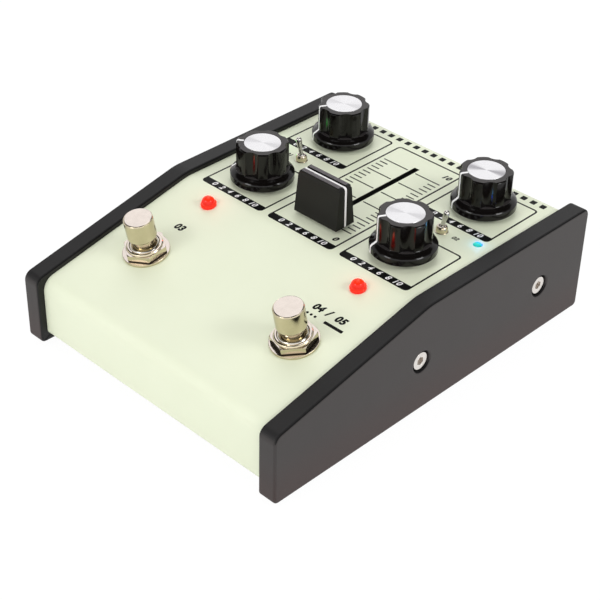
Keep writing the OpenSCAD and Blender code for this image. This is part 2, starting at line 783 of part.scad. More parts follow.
// Foot switches
module lug_grid() {
    lug_pitch = foot_body_w / 3.4;
    for (i = [-1:1], j = [-1:1]) translate([i * lug_pitch, j * lug_pitch, 0]) children();
}
module foot_switch(side) {
    lug_w = foot_body_w / 8;
    lug_t = foot_body_w / 20;
    lug_l = 4 * board_t;
    edge = 0.5;
    flare = 0.8;
    bore_r = foot_stem_d / 2 + run_gap;
    color("#c9c6bb") on_slope(side * foot_switch_x, foot_switch_run) difference() {
        union() {
            translate([0, 0, foot_body_z]) rotate_extrude()
                polygon([
                    [0, 0],
                    [foot_bush_d / 2, 0],
                    [foot_bush_d / 2, foot_bush_rise - edge - foot_body_z],
                    [foot_bush_d / 2 - edge, foot_bush_rise - foot_body_z],
                    [0, foot_bush_rise - foot_body_z]
                ]);
            translate([-foot_body_w / 2, -foot_body_w / 2, foot_body_z])
                cube([foot_body_w, foot_body_w, foot_body_h]);
            translate([0, 0, foot_body_z - lug_l]) lug_grid()
                translate([-lug_w / 2, -lug_t / 2, 0]) cube([lug_w, lug_t, lug_l + edge]);
        }
        translate([0, 0, -stem_depth - foot_travel - move_gap])
            cylinder(r = bore_r, h = foot_cap_rise + stem_depth + foot_travel);
        translate([0, 0, foot_bush_rise - flare])
            cylinder(r1 = bore_r, r2 = bore_r + 2 * flare, h = 2 * flare);
    }
}
module foot_cap(side) {
    edge = 0.4;
    cap_low = foot_cap_rise - foot_cap_h;
    color("#d9d6cc") on_slope(side * foot_switch_x, foot_switch_run) rotate_extrude()
        polygon([
            [0, -stem_depth],
            [foot_stem_d / 2, -stem_depth],
            [foot_stem_d / 2, cap_low],
            [foot_cap_d / 2 - edge, cap_low],
            [foot_cap_d / 2, cap_low + edge],
            [foot_cap_d / 2, foot_cap_rise - edge],
            [foot_cap_d / 2 - edge, foot_cap_rise],
            [0, foot_cap_rise]
        ]);
}
module foot_washers() {
    color("#cfccc6") for (side = sides) on_slope(side * foot_switch_x, foot_switch_run)
        translate([0, 0, seam]) ring(foot_washer_d, foot_bush_d + 2 * run_gap, foot_washer_t);
}
module foot_nuts() {
    turns = [left_nut_turn, right_nut_turn];
    color("#cfccc6") for (i = [0, 1]) on_slope(sides[i] * foot_switch_x, foot_switch_run)
        translate([0, 0, foot_washer_t + 2 * seam]) rotate(turns[i])
            hex_nut(foot_nut_af, foot_bush_d + 2 * run_gap, foot_nut_t, foot_nut_crown);
}
module foot_lock_nuts() {
    color("#bdbab2") for (side = sides) on_slope(side * foot_switch_x, foot_switch_run)
        translate([0, 0, lock_nut_z]) hex_nut(foot_nut_af, foot_bush_d + 2 * run_gap, lock_nut_t);
}
module foot_switch_boards() {
    w = 1.3 * foot_body_w;
    hole_w = foot_body_w / 8 + 2 * hole_gap;
    hole_t = foot_body_w / 20 + 2 * hole_gap;
    color("#2f6b45") for (side = sides) on_slope(side * foot_switch_x, foot_switch_run)
        translate([0, 0, foot_body_z - seam - board_t]) difference() {
            translate([-w / 2, -w / 2, 0]) cube([w, w, board_t]);
            lug_grid() translate([-hole_w / 2, -hole_t / 2, -over])
                cube([hole_w, hole_t, board_t + 2 * over]);
        }
}

// Lamps
module lamp_legs(d, from, to) {
    leg_w = 0.5;
    for (side = sides) translate([side * d / 4 - leg_w / 2, -leg_w / 2, to]) cube([leg_w, leg_w, from - to]);
}
module large_lamp(side) {
    r = large_lens_d / 2;
    low = -sheet_t - 2 * large_rim_h;
    color("#e2231a") on_slope(side * foot_switch_x, large_lamp_run) {
        rotate_extrude()
            polygon(concat(
                [[0, low], [r, low], [r, seam], [large_rim_d / 2, seam]],
                [[large_rim_d / 2, large_rim_h], [r, large_rim_h]],
                [for (k = [0:arc_steps])
                    let(angle = 90 * k / arc_steps)
                    [r * cos(angle), large_lens_h + r * sin(angle)]]
            ));
        lamp_legs(large_lens_d, low + seam, low - 2 * large_lens_d);
    }
}
module small_lamp(side, tint) {
    r = small_lens_d / 2;
    low = -sheet_t - board_gap / 2;
    crown_r = (r * r + small_lens_rise * small_lens_rise) / (2 * small_lens_rise);
    sweep = asin(r / crown_r);
    color(tint) on_panel(side * small_lamp_x, small_lamp_run) {
        rotate_extrude()
            polygon(concat(
                [[0, low], [r, low]],
                [for (k = [0:arc_steps])
                    let(angle = sweep * (1 - k / arc_steps))
                    [crown_r * sin(angle), small_lens_rise - crown_r * (1 - cos(angle))]]
            ));
        lamp_legs(small_lens_d, low + seam, seam - sheet_t - board_gap);
    }
}

// Sockets on the rear wall
module jack(side) {
    edge = 0.4;
    reach_in = sheet_t + seam + jack_body_l;
    color("#232426") on_rear(side * jack_x) difference() {
        union() {
            translate([0, 0, -reach_in]) rotate_extrude()
                polygon([
                    [0, 0],
                    [jack_nose_d / 2, 0],
                    [jack_nose_d / 2, reach_in + nose_reach - edge],
                    [jack_nose_d / 2 - edge, reach_in + nose_reach],
                    [0, reach_in + nose_reach]
                ]);
            translate([-jack_body_w / 2, -jack_body_h / 2, -reach_in])
                cube([jack_body_w, jack_body_h, jack_body_l]);
        }
        translate([0, 0, nose_reach - jack_bore_l]) cylinder(d = jack_bore_d, h = jack_bore_l + over);
    }
}
module jack_washers() {
    color("#c9c9c6") for (side = sides) on_rear(side * jack_x) translate([0, 0, seam])
        ring(jack_washer_d, jack_nose_d + 2 * run_gap, jack_washer_t);
}
module jack_nuts() {
    color("#c9c9c6") for (side = sides) on_rear(side * jack_x) translate([0, 0, jack_washer_t + 2 * seam])
        hex_nut(jack_nut_af, jack_nose_d + 2 * run_gap, socket_nut_t);
}
module power_inlet() {
    bore_l = inlet_body_l;
    color("#1f2022") on_rear(0) {
        difference() {
            union() {
                translate([0, 0, -sheet_t - seam - inlet_body_l])
                    cylinder(d = inlet_body_d, h = inlet_body_l);
                translate([0, 0, -sheet_t - seam - over])
                    cylinder(d = inlet_nose_d, h = sheet_t + seam + over + nose_reach);
            }
            translate([0, 0, nose_reach - bore_l]) cylinder(d = inlet_bore_d, h = bore_l + over);
        }
        translate([0, 0, nose_reach - bore_l - over]) cylinder(d = inlet_pin_d, h = bore_l);
    }
}
module inlet_nut() {
    color("#c9c9c6") on_rear(0) translate([0, 0, seam])
        hex_nut(inlet_nut_af, inlet_nose_d + 2 * run_gap, socket_nut_t);
}

// Boards and their fixings
module control_board() {
    color("#2f6b45") translate([-control_board_w / 2, bend_at + control_board_run, control_board_z])
        cube([control_board_w, control_board_d, board_t]);
}
module main_board() {
    color("#2f6b45") difference() {
        translate([-main_board_w / 2, main_board_y - main_board_d / 2, main_board_z])
            cube([main_board_w, main_board_d, board_t]);
        at_spacers() cylinder(d = small_screw_d + 2 * hole_gap, h = spacer_h + board_t + over);
    }
}
module board_spacers() {
    color("#c8b26a") at_spacers() translate([0, 0, seam])
        ring(small_head_d, small_screw_d + 2 * hole_gap, spacer_h - 2 * seam);
}
module board_screws() {
    reach = board_t + spacer_h + tray_t;
    color("#c9c9c6") at_spacers() translate([0, 0, spacer_h + board_t + seam])
        mirror([0, 0, 1]) pan_screw(reach);
}
// The cable rises in one wave between a plug on each board
function ribbon_sway(t) = ribbon_bow * (1 - cos(360 * t)) / 2;
module ribbon_cable() {
    steps = 24;
    low = main_board_top + seam;
    high = control_board_z - seam;
    y = bend_at + control_board_run + plug_d + ribbon_bow;
    rise = high - low - plug_h;
    edge_of = function (half) [for (k = [0:steps])
        let(t = k / steps)
        [half + ribbon_sway(t), plug_h / 2 + rise * t]];
    color("#8f9396") translate([-ribbon_w / 2, y, low]) {
        rotate([90, 0, 90]) linear_extrude(ribbon_w)
            polygon(concat(edge_of(-ribbon_t / 2), [for (k = [steps:-1:0]) edge_of(ribbon_t / 2)[k]]));
        for (z = [0, high - low - plug_h]) translate([0, -plug_d / 2, z]) cube([ribbon_w, plug_d, plug_h]);
    }
}

top_cover();
base_tray();
cheek(-1);  // left_cheek
cheek(1);  // right_cheek
cheek_screws();
cheek_nuts();
lip_screws();
lip_nuts();
feet();
foot_screws();
knob(front_left);  // knob_front_left
knob(rear_left);  // knob_rear_left
knob(front_right);  // knob_front_right
knob(rear_right);  // knob_rear_right
disc(front_left);  // disc_front_left
disc(rear_left);  // disc_rear_left
disc(front_right);  // disc_front_right
disc(rear_right);  // disc_rear_right
shaft(front_left);  // shaft_front_left
shaft(rear_left);  // shaft_rear_left
shaft(front_right);  // shaft_front_right
shaft(rear_right);  // shaft_rear_right
pot(front_left);  // pot_front_left
pot(rear_left);  // pot_rear_left
pot(front_right);  // pot_front_right
pot(rear_right);  // pot_rear_right
pot_washers();
pot_nuts();
fader_case();
fader_lever();
fader_cap();
toggle_switch(-1);  // left_toggle_switch
toggle_switch(1);  // right_toggle_switch
toggle_lever(-1);  // left_toggle_lever
toggle_lever(1);  // right_toggle_lever
foot_switch(-1);  // left_foot_switch
foot_switch(1);  // right_foot_switch
foot_cap(-1);  // left_foot_cap
foot_cap(1);  // right_foot_cap
foot_washers();
foot_nuts();
foot_lock_nuts();
foot_switch_boards();
large_lamp(-1);  // left_red_lamp
large_lamp(1);  // right_red_lamp
small_lamp(1, "#12c8d8");  // blue_lamp
small_lamp(-1, "#35c24a");  // green_lamp
jack(1);  // input_jack
jack(-1);  // output_jack
jack_washers();
jack_nuts();
power_inlet();
inlet_nut();
control_board();
main_board();
board_spacers();
board_screws();
ribbon_cable();
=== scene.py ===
"""Looks of a tabletop delay pedal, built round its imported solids."""
import json
import math

import bmesh
import bpy
from mathutils import Matrix, Vector


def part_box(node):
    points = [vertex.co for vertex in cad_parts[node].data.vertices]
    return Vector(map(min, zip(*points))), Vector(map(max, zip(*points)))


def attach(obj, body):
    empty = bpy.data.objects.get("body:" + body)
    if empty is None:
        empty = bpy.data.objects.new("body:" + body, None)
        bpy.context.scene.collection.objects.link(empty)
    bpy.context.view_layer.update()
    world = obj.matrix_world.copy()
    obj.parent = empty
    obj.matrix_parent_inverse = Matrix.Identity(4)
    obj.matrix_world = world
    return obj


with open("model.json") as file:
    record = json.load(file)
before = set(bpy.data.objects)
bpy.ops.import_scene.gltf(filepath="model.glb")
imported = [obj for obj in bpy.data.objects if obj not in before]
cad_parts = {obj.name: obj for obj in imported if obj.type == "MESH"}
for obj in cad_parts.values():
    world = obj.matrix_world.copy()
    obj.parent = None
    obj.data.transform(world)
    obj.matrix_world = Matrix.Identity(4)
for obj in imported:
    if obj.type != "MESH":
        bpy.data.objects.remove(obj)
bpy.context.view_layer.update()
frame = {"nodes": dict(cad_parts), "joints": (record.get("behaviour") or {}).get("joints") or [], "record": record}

MM = 0.001
SIDES = (-1, 1)
KNOBS = ("front_left", "rear_left", "front_right", "rear_right")

# Distance from the front knobs' centres forward to the bend between panel and slope
BEND_RUN = 19.5 * MM

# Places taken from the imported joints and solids
joints = {joint["name"]: joint for joint in frame["joints"]}
knob_at = {corner: Vector(joints[f"knob_{corner}_turn"]["pos_m"]) for corner in KNOBS}
panel_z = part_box("top_cover")[1].z
slope_down = Vector(joints["left_foot_button_press"]["axis"])
slope_angle = math.asin(slope_down.y)
bend_y = knob_at["front_left"].y - BEND_RUN


def add_object(name, data):
    """A new object in the scene."""
    made = bpy.data.objects.new(name, data)
    bpy.context.scene.collection.objects.link(made)
    return made


# Shader nodes

class Wire:
    """An output of a node tree. Arithmetic on it adds Math nodes."""

    def __init__(self, nodes, socket):
        self.nodes = nodes
        self.socket = socket

    def maths(self, operation, *others):
        """A Math node with this wire as its first value."""
        return self.nodes.maths(operation, self, *others)

    def __add__(self, other):
        return self.maths("ADD", other)

    __radd__ = __add__

    def __mul__(self, other):
        return self.maths("MULTIPLY", other)

    __rmul__ = __mul__

    def __sub__(self, other):
        return self.maths("SUBTRACT", other)

    def __rsub__(self, other):
        return self.nodes.maths("SUBTRACT", other, self)

    def __pow__(self, other):
        return self.maths("POWER", other)

    def size(self):
        """The value without its sign."""
        return self.maths("ABSOLUTE")

    def sine(self):
        return self.maths("SINE")

    def clamped(self):
        """The value, held between 0 and 1."""
        return self.nodes.node(
            "ShaderNodeMath", {"operation": "ADD", "use_clamp": True}, {0: self, 1: 0.0})

    def between(self, low, high):
        """Goes from 0 at low to 1 at high, smoothly."""
        return self.nodes.node(
            "ShaderNodeMapRange", {"interpolation_type": "SMOOTHSTEP"}, {0: self, 1: low, 2: high})


class Nodes:
    """A node tree that grows as it is described."""

    def __init__(self, tree):
        self.tree = tree

    def plug(self, target, value):
        """Links a wire to an input, or sets the input to a plain value."""
        if isinstance(value, Wire):
            self.tree.links.new(value.socket, target)
        else:
            target.default_value = value

    def node(self, kind, settings=None, sockets=None, output=0):
        """Adds a node and gives one of its outputs."""
        made = self.tree.nodes.new(kind)
        for key, value in (settings or {}).items():
            setattr(made, key, value)
        for key, value in (sockets or {}).items():
            self.plug(made.inputs[key], value)
        return Wire(self, made.outputs[output])

    def maths(self, operation, *values):
        """A Math node."""
        return self.node("ShaderNodeMath", {"operation": operation}, dict(enumerate(values)))

    def axes(self, vector):
        """The three parts of a vector."""
        split = self.node("ShaderNodeSeparateXYZ", None, {0: vector}).socket.node
        return [Wire(self, part) for part in split.outputs]


class Paint(Nodes):
    """One material: its nodes are added as the finish is described."""

    def __init__(self, name):
        self.material = bpy.data.materials.new(name)
        self.material.use_nodes = True
        super().__init__(self.material.node_tree)
        self.surface = self.tree.nodes["Principled BSDF"]
        self.output = self.tree.nodes["Material Output"]

    def place(self):
        """Object coordinates in metres, so that a grain rides with its piece."""
        return self.node("ShaderNodeTexCoord", output="Object")

    def faces(self):
        """Direction of the surface, as three parts."""
        return self.axes(self.node("ShaderNodeNewGeometry", output="Normal"))

    def noise(self, size, detail=2.0, roughness=0.5):
        """Noise with features of about that size, in metres."""
        return self.node(
            "ShaderNodeTexNoise", None,
            {"Vector": self.place(), "Scale": 1.0 / size, "Detail": detail, "Roughness": roughness})

    def noise_along(self, value, scale, roughness):
        """Noise that changes along one value only."""
        return self.node(
            "ShaderNodeTexNoise", {"noise_dimensions": "1D"},
            {"W": value, "Scale": scale, "Detail": 3.0, "Roughness": roughness})

    def blend(self, factor, first, second):
        """Goes from the first colour at 0 to the second at 1."""
        return self.node(
            "ShaderNodeMix", {"data_type": "RGBA"}, {0: factor, 6: first, 7: second}, output=2)

    def bump(self, height, depth, strength):
        """A surface direction that follows a height."""
        return self.node(
            "ShaderNodeBump", None, {"Height": height, "Distance": depth, "Strength": strength})

    def finish(self, **sockets):
        """Sets the shader's inputs, named with _ for each space, and gives the material."""
        for name, value in sockets.items():
            self.plug(self.surface.inputs[name.replace("_", " ")], value)
        return self.material


def srgb(red, green, blue):
    """A colour given as 0 to 255 on screen, in the linear values that shaders use."""
    def linear(value):
        value /= 255
        return value / 12.92 if value <= 0.04045 else ((value + 0.055) / 1.055) ** 2.4
    return linear(red), linear(green), linear(blue), 1.0


# Finishes

WHITE = (1, 1, 1, 1)
BLACK = (0, 0, 0, 1)
# Half width, blur, depth and lip of the painted shade that blackens the fader's slot
SLOT_HALF = 1.8 * MM
SLOT_BLUR = 0.1 * MM
SLOT_DEPTH = 2.0 * MM
SLOT_LIP = (0.15 * MM, 0.1 * MM)


def cover_paint():
    """Pale yellow-green powder coat with a faint mottle and a fine grain; painted shade blackens the walls of the
    fader's slot.
    """
    paint = Paint("cover_paint")
    mottle = paint.noise(18 * MM, 3.0)
    grain = paint.noise(0.55 * MM)
    speck = paint.noise(0.16 * MM, 1.0)
    x, y, z = paint.axes(paint.place())
    low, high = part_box("fader_case")
    floor = panel_z - SLOT_DEPTH
    # slot: painted shade, the walls of the fader's slot blackened down to the slot's floor
    slot = 1 - x.size().between(SLOT_HALF, SLOT_HALF + SLOT_BLUR)
    slot = slot * y.between(low.y, low.y + SLOT_BLUR) * (1 - y.between(high.y - SLOT_BLUR, high.y))
    slot = slot * z.between(floor - SLOT_BLUR, floor)
    slot = slot * (1 - z.between(panel_z - SLOT_LIP[0], panel_z - SLOT_LIP[1]))
    flecks = speck.between(0.62, 0.8) * 0.35
    colour = paint.blend(mottle, srgb(233, 239, 212), srgb(238, 243, 218))
    colour = paint.blend(flecks, colour, srgb(226, 232, 206))
    return paint.finish(
        Base_Color=paint.blend(slot, colour, srgb(14, 14, 12)),
        Roughness=0.36 + 0.12 * grain,
        Normal=paint.bump(grain * 0.7 + speck * 0.3, 0.02 * MM, 0.55))


def cheek_black():
    """Satin black cheeks with painted light and shade: painted shade makes the tops darker than the sides, a
    painted reflection of the floor browns the sides low down, painted shade darkens the inner faces, and a painted
    dark reflection line runs along the top edges.
    """
    paint = Paint("cheek")
    broad = paint.noise(14 * MM, 3.0)
    grain = paint.noise(0.35 * MM)
    x, _, z = paint.axes(paint.place())
    face_x, _, face_z = paint.faces()
    # side: the sides take a lighter colour than the tops; the darker tops are painted shade
    side = 1 - face_z.size().between(0.3, 0.7)
    # inner: painted shade on the faces that look in towards the panel
    inner = 1 - (face_x * x.maths("SIGN")).between(-0.6, -0.3)
    tilt = face_x.size()
    # painted dark reflection line along the upward top edges; the edges' extra roughness is real
    painted_edge_line = tilt.between(0.15, 0.4) * (1 - tilt.between(0.85, 0.97)) * face_z.between(0.1, 0.3)
    # painted reflection of the floor: the sides turn brown towards the bottom
    floor_reflection = 1 - z.between(2 * MM, 24 * MM)
    outside = paint.blend(floor_reflection, srgb(55, 51, 50), srgb(60, 47, 45))
    outside = paint.blend(broad * 0.35, outside, srgb(42, 38, 37))
    colour = paint.blend(side, srgb(16, 14, 15), outside)
    colour = paint.blend(inner, colour, srgb(7, 6, 4))
    colour = paint.blend(painted_edge_line, colour, srgb(3, 3, 3))
    return paint.finish(
        Base_Color=colour,
        Roughness=0.5 + 0.14 * grain - 0.1 * side + 0.4 * painted_edge_line,
        IOR=1.4,
        Normal=paint.bump(grain, 0.012 * MM, 0.5))


def knob_black():
    """Polished black knobs with faint mould haze, and a duller rim on top whose grey is painted sheen."""
    paint = Paint("knob_black")
    haze = paint.noise(3 * MM, 4.0)
    dust = paint.noise(0.3 * MM)
    # rim: the duller top ring; its grey colour is painted sheen, its roughness is real
    rim = paint.faces()[2].between(0.97, 0.995)
    colour = paint.blend(haze, srgb(8, 6, 5), srgb(13, 10, 9))
    colour = paint.blend(rim, colour, paint.blend(dust, srgb(46, 43, 43), srgb(64, 60, 60)))
    return paint.finish(
        Base_Color=colour,
        Roughness=0.07 + 0.06 * haze + 0.04 * dust + 0.34 * rim,
        IOR=1.35,
        Normal=paint.bump(haze + rim * dust, 0.012 * MM, 0.4))


def cap_black(name, pale, deep):
    """Satin moulded black of the fader cap with a fine grain."""
    paint = Paint(name)
    haze = paint.noise(6 * MM, 3.0)
    grain = paint.noise(0.25 * MM)
    return paint.finish(
        Base_Color=paint.blend(haze, deep, pale),
        Roughness=0.32 + 0.18 * grain,
        IOR=1.32,
        Normal=paint.bump(grain, 0.015 * MM, 0.5))


def grained(name, size, deep, pale, roughness, depth, strength=0.5, detail=2.0):
    """A plain dark finish: one grain varies its colour, its gloss and its height."""
    paint = Paint(name)
    grain = paint.noise(size, detail)
    return paint.finish(
        Base_Color=paint.blend(grain, deep, pale),
        Roughness=roughness + 0.2 * grain,
        Normal=paint.bump(grain, depth, strength))


def socket_black():
    """Moulded black of the sockets; on the fader's case the black is painted shade seen down the slot."""
    return grained("socket_black", 0.4 * MM, srgb(20, 20, 22), srgb(34, 34, 36), 0.3, 0.02 * MM)


# Turn and depth, for each knob, of the reflection fan painted across the discs
PAINTED_FAN_ANGLE = math.radians(22)
PAINTED_FAN_DEPTH = {"front_left": 0.35, "rear_left": 0.3, "front_right": 0.35, "rear_right": 0.9}
RING_PITCH = 0.16 * MM


def spun_disc(corner):
    """Spun aluminium: fine turned rings, and a painted two-sided fan of reflection across the disc, deeper on some
    knobs than on others.
    """
    paint = Paint(f"disc_{corner}")
    centre = knob_at[corner]
    x, y, _ = paint.axes(paint.place())
    away_x = x - centre.x
    away_y = y - centre.y
    radius = (away_x ** 2 + away_y ** 2) ** 0.5
    angle = away_y.maths("ARCTAN2", away_x)
    rings = paint.noise_along(radius, 1 / RING_PITCH, 0.7)
    spokes = paint.noise_along(angle, 1.6, 0.5)
    # painted reflection: a two-sided fan, darker along one axis, blended into the disc's colour
    turned = angle - PAINTED_FAN_ANGLE + 0.5 * (spokes - 0.5)
    fan = turned.sine().size().between(0.0, 0.6)
    fan = 1 - (1 - fan) * PAINTED_FAN_DEPTH[corner]
    sheen = (fan - 0.25 * (spokes - 0.4).size() - 0.2 * (rings - 0.5).size()).clamped()
    return paint.finish(
        Base_Color=paint.blend(sheen, srgb(150, 148, 152), srgb(214, 213, 215)),
        Metallic=1.0,
        Roughness=0.2 + 0.12 * rings,
        Normal=paint.bump(rings, 0.05 * MM, 0.5))


def wipe_marks(paint):
    """The broad and the fine marks of wiped metal."""
    return paint.noise(2.5 * MM, 3.0), paint.noise(0.4 * MM, 4.0, 0.7)


def bright_metal(paint, colour, roughness, scratch):
    """Finishes a paint as metal with fine scratches."""
    return paint.finish(
        Base_Color=colour,
        Metallic=1.0,
        Roughness=roughness,
        Normal=paint.bump(scratch, 0.004 * MM, 0.4))


def plated(name, pale, deep, roughness):
    """Plated or turned metal with faint wipe marks."""
    paint = Paint(name)
    cloud, scratch = wipe_marks(paint)
    colour = paint.blend(cloud, pale, deep)
    return bright_metal(paint, colour, roughness * 0.7 + roughness * 0.6 * scratch, scratch)


# Heights above the slope between which the painted shade at a nut's foot ends
NUT_SHADE = (1.35 * MM, 1.9 * MM)


def nickel(name, painted_foot_shade=False):
    """Bright nickel; the olive on its sides is a painted reflection of the panel, pinker on faces that look up."""
    paint = Paint(name)
    cloud, scratch = wipe_marks(paint)
    # top against side: the sides' olive tint is a painted reflection of the panel
    top = paint.faces()[2].between(0.8, 0.95)
    side = paint.blend(cloud, srgb(209, 198, 171), srgb(195, 184, 156))
    colour = paint.blend(top, side, paint.blend(cloud, srgb(216, 206, 198), srgb(202, 191, 183)))
    if painted_foot_shade:
        _, y, z = paint.axes(paint.place())
        above = (bend_y - y) * slope_down.y + (panel_z - z) * slope_down.z
        # painted shade: a dark band at the nut's foot, where it meets the washer
        colour = paint.blend(above.between(*NUT_SHADE), srgb(44, 35, 24), colour)
    return bright_metal(paint, colour, 0.07 + 0.08 * scratch, scratch)


def lit_lens(node, flank, crown, rear, strength):
    """A lit lens: a darker flank, a bright crown, and a colour of its own on the rear of the crown."""
    paint = Paint(node)
    _, face_y, face_z = paint.faces()
    cell = paint.noise(0.8 * MM)
    up = (face_z + 0.2 * (cell - 0.5)).between(0.4, 0.95)
    colour = paint.blend(up, flank, paint.blend(face_y.between(0.1, 0.35), crown, rear))
    return paint.finish(
        Base_Color=paint.blend(0.9, colour, BLACK),
        Roughness=0.08 + 0.06 * cell,
        IOR=1.3,
        Emission_Color=colour,
        Emission_Strength=strength)


TRACK_PITCH = 2.4 * MM


def board_green():
    """Solder mask over fine copper tracks."""
    paint = Paint("board")
    x, y, _ = paint.axes(paint.place())
    weave = paint.noise(0.9 * MM)
    tracks = ((x + y) * (2 * math.pi / TRACK_PITCH)).sine().between(0.5, 0.8)
    return paint.finish(
        Base_Color=paint.blend(tracks * 0.5, srgb(20, 88, 50), srgb(38, 120, 66)),
        Roughness=0.3 + 0.2 * weave,
        Normal=paint.bump(tracks, 0.03 * MM, 0.5))


CORE_PITCH = 1.27 * MM


def ribbon_grey():
    """Grey flat cable with its ribbed cores."""
    paint = Paint("ribbon")
    x, _, _ = paint.axes(paint.place())
    cores = (x * (2 * math.pi / CORE_PITCH)).sine()
    return paint.finish(
        Base_Color=paint.blend(cores.between(-1.0, 1.0), srgb(128, 131, 134), srgb(160, 163, 166)),
        Roughness=0.5,
        Normal=paint.bump(cores, 0.15 * MM, 0.5))


def black_ink():
    """Screen-printed black, a little thin where the mesh left it."""
    paint = Paint("black_ink")
    thin = paint.noise(0.7 * MM, 3.0)
    gaps = thin.between(0.45, 0.75) * 0.4
    return paint.finish(
        Base_Color=paint.blend(gaps, srgb(5, 5, 4), srgb(18, 17, 15)),
        Roughness=0.42 + 0.2 * thin,
        IOR=1.22,
        Normal=paint.bump(thin, 0.005 * MM, 0.4))


def white_ink():
    """White figures, and the white lines on the knobs and the fader cap."""
    paint = Paint("white_ink")
    thin = paint.noise(0.6 * MM, 3.0)
    gaps = thin.between(0.5, 0.8) * 0.5
    return paint.finish(
        Base_Color=paint.blend(gaps, srgb(252, 251, 251), srgb(236, 235, 234)),
        Roughness=0.4 + 0.15 * thin,
        Normal=paint.bump(thin, 0.004 * MM, 0.4))


# Meshes

def piece(name, mesh, material, body):
    """A new piece of the scene that rides on a body and belongs to a material slot."""
    made = add_object(name, mesh)
    made.data.materials.append(material)
    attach(made, body)


def finished(shape, name):
    """The mesh of a shape, with its faces turned outward."""
    bmesh.ops.recalc_face_normals(shape, faces=shape.faces)
    mesh = bpy.data.meshes.new(name)
    shape.to_mesh(mesh)
    shape.free()
    return mesh


class Print:
    """Flat ink shapes on one face, gathered into a single mesh."""

    THICK = 0.03 * MM
    SUNK = 0.01 * MM
    LEAN = 0.25
    SPACING = 1.12
    # Height of a capital as a share of the font's size
    CAPITAL = 0.73

    def __init__(self, place):
        self.place = place
        self.shape = bmesh.new()

    def point(self, x, y, z):
        return self.shape.verts.new(self.place @ Vector((x, y, z)))

    def face(self, *points):
        self.shape.faces.new(points)

    def prism(self, outline, lift=0.0):
        """A filled outline."""
        low = [self.point(x, y, lift - self.SUNK) for x, y in outline]
        high = [self.point(x, y, lift + self.THICK) for x, y in outline]
        self.face(*high)
        self.face(*low[::-1])
        for i in range(len(low)):
            j = (i + 1) % len(low)
            self.face(low[i], low[j], high[j], high[i])

    def border(self, outer, inner):
        """A closed line between two outlines of as many points."""
        levels = (-self.SUNK, self.THICK)
        rings = [[self.point(x, y, z) for x, y in outline] for outline in (outer, inner) for z in levels]
        outer_low, outer_high, inner_low, inner_high = rings
        for i in range(len(outer)):
            j = (i + 1) % len(outer)
            self.face(outer_high[i], outer_high[j], inner_high[j], inner_high[i])
            self.face(outer_low[j], outer_low[i], inner_low[i], inner_low[j])
            self.face(outer_low[i], outer_low[j], outer_high[j], outer_high[i])
            self.face(inner_low[j], inner_low[i], inner_high[i], inner_high[j])

    def letters(self, words, height, at, weight, lift=0.0):
        """Leaning figures, set with their middle at a point."""
        curve = bpy.data.curves.new("figures", "FONT")
        curve.body = words
        curve.align_x = "CENTER"
        curve.align_y = "CENTER"
        curve.size = height / self.CAPITAL
        curve.shear = self.LEAN
        curve.space_character = self.SPACING
        curve.offset = weight
        curve.extrude = (self.THICK + self.SUNK) / 2
        shown = add_object("figures", curve)
        bpy.context.view_layer.update()
        seen = shown.evaluated_get(bpy.context.evaluated_depsgraph_get())
        mesh = bpy.data.meshes.new_from_object(seen)
        middle = lift + (self.THICK - self.SUNK) / 2
        mesh.transform(self.place @ Matrix.Translation((at[0], at[1], middle)))
        self.shape.from_mesh(mesh)
        bpy.data.objects.remove(shown)
        bpy.data.curves.remove(curve)
        bpy.data.meshes.remove(mesh)


def round_box(x0, y0, x1, y1, radius, steps=6):
    """Outline of a box with round corners, of one radius or of one each from the front left."""
    radii = radius if isinstance(radius, tuple) else (radius,) * 4
    corners = ((x0, y0, 1, 1, 180), (x1, y0, -1, 1, 270), (x1, y1, -1, -1, 0), (x0, y1, 1, -1, 90))
    points = []
    for (x, y, in_x, in_y, start), r in zip(corners, radii):
        for k in range(steps + 1):
            angle = math.radians(start + 90 * k / steps)
            points.append((x + r * (in_x + math.cos(angle)), y + r * (in_y + math.sin(angle))))
    return points


def ribbon(path, across, proud, width):
    """A thin strip, as a closed mesh, along a path of points that each have a direction through it."""
    shape = bmesh.new()
    rows = []
    for point, through in path:
        low = point - through * proud
        high = point + through * proud
        corners = ((low, -1), (high, -1), (high, 1), (low, 1))
        rows.append([shape.verts.new(corner + across * (width / 2 * side)) for corner, side in corners])
    for near, far in zip(rows, rows[1:]):
        for i in range(4):
            j = (i + 1) % 4
            shape.faces.new((near[i], near[j], far[j], far[i]))
    shape.faces.new(rows[0][::-1])
    shape.faces.new(rows[-1])
    return finished(shape, "strip")


def directed(points):
    """Pairs each point of a flat path with the direction square to the path."""
    pairs = []
    for i, point in enumerate(points):
        before = points[max(i - 1, 0)]
        after = points[min(i + 1, len(points) - 1)]
        along = Vector((after[0] - before[0], after[1] - before[1])).normalized()
        pairs.append((point, (along.y, -along.x)))
    return pairs


# Print on the flat panel and on the slope; a run is a distance behind the bend

